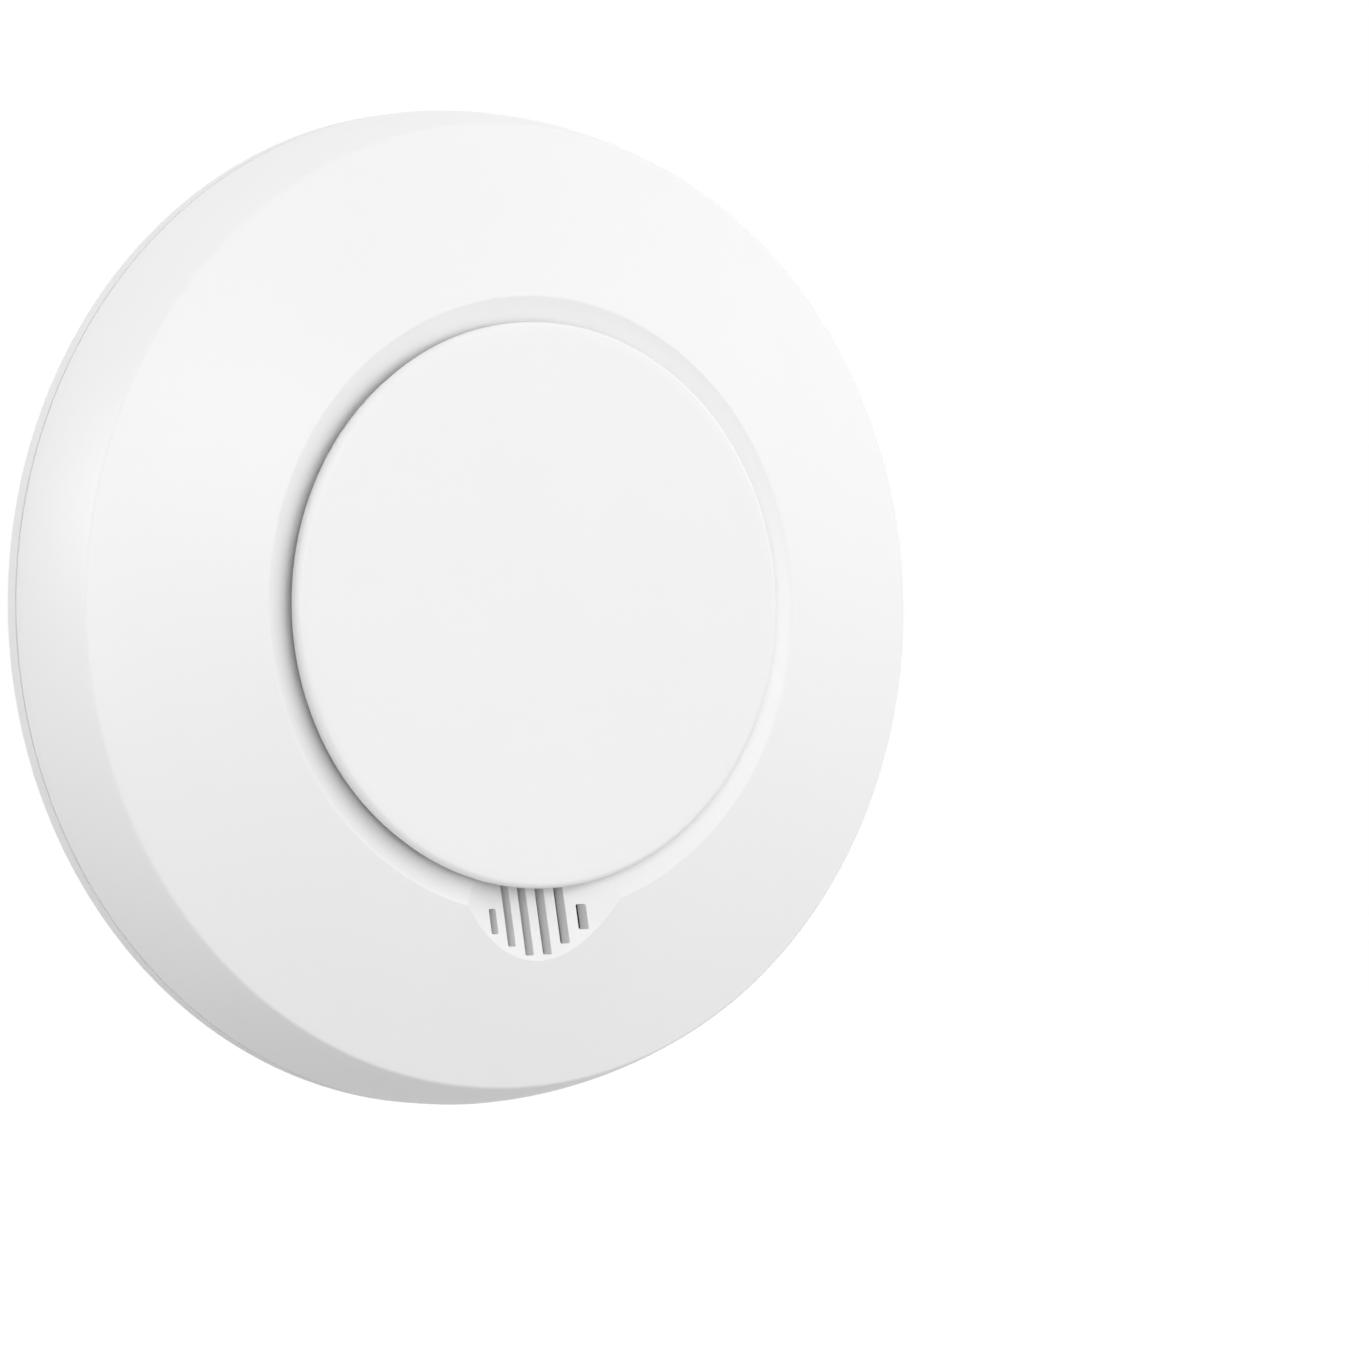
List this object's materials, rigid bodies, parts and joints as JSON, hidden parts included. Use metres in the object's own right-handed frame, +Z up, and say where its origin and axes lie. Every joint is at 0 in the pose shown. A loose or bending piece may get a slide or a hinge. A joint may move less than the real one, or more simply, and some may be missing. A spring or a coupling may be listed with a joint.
{
  "type": "smoke detector",
  "caption": "Slim round smoke alarm with a tapered cover, floating test button over a ring gap and a scooped sound grille, on a twist-lock wall bracket.",
  "frame": {"origin": "centre of the bracket's flat back, on the wall", "axes": "+Y into the wall, so that the face looks along -Y; +Z up the wall, away from the sound grille; +X to the right as seen from in front"},
  "size_m": [0.12, 0.023, 0.12],
  "materials": {
    "white_shell": "satin moulded, very fine grain",
    "white_bracket": "satin moulded",
    "black_optics": "dull moulded",
    "steel": "plain",
    "spring_steel": "drawn wire",
    "nickel": "nickel plated",
    "cell_jacket": "printed sleeve, plain",
    "circuit_board": "solder resist",
    "chip_black": "moulded epoxy",
    "switch_brown": "moulded",
    "siren_ivory": "moulded",
    "foam": "closed cell foam",
    "brass": "rolled sheet",
    "ceramic": "silvered ceramic",
    "copper_wire": "drawn wire",
    "cap_can": "sleeved can",
    "ferrite": "ferrite",
    "lens_clear": "clear moulded",
    "lens_dark": "dark tinted"
  },
  "bodies": {
    "bracket": {"mounting_bracket": "white_bracket"},
    "head": {"rear_housing": "white_shell", "front_cover": "white_shell", "button_springs": "spring_steel", "battery_cell_inner": "cell_jacket", "battery_cell_outer": "cell_jacket", "battery_bridge": "nickel", "battery_positive": "nickel", "battery_negative": "nickel", "battery_springs": "nickel", "main_board": "circuit_board", "switch_body": "chip_black", "chamber_base": "black_optics", "chamber_lid": "black_optics", "insect_mesh": "steel", "ir_emitter": "lens_clear", "photodiode": "lens_dark", "siren_cup": "siren_ivory", "siren_cap": "siren_ivory", "siren_gasket": "foam", "piezo_plate": "brass", "piezo_ceramic": "ceramic", "radio_board": "circuit_board", "radio_shield": "steel", "antenna_coil": "copper_wire", "controller_chip": "chip_black", "capacitors": "cap_can", "boost_choke": "ferrite", "status_led": "lens_clear", "light_pipe": "lens_clear", "joint_screws": "steel", "board_screws_set": "steel"},
    "button": {"test_button": "white_shell"},
    "plunger": {"switch_plunger": "switch_brown"},
    "door": {"battery_door": "white_shell"}
  },
  "joints": [
    {"name": "head_twist", "type": "hinge", "parent": "bracket", "child": "head", "pos_m": [0, 0, 0], "axis": [0, -1, 0], "range_deg": [0, 15]},
    {"name": "button_press", "type": "slide", "parent": "head", "child": "button", "axis": [0, 1, 0], "range_m": [0, 0.0006], "stiffness_N_per_m": 3000, "deforming": ["button_springs"]},
    {"name": "plunger_press", "type": "slide", "parent": "head", "child": "plunger", "axis": [0, 1, 0], "range_m": [0, 0.0006]},
    {"name": "door_swing", "type": "hinge", "parent": "head", "child": "door", "pos_m": [0, -0.003, 0.02637], "axis": [-1, 0, 0], "range_deg": [0, 100]}
  ],
  "couplings": [
    {"joint": "plunger_press", "follows": "button_press", "ratio": 1}
  ]
}
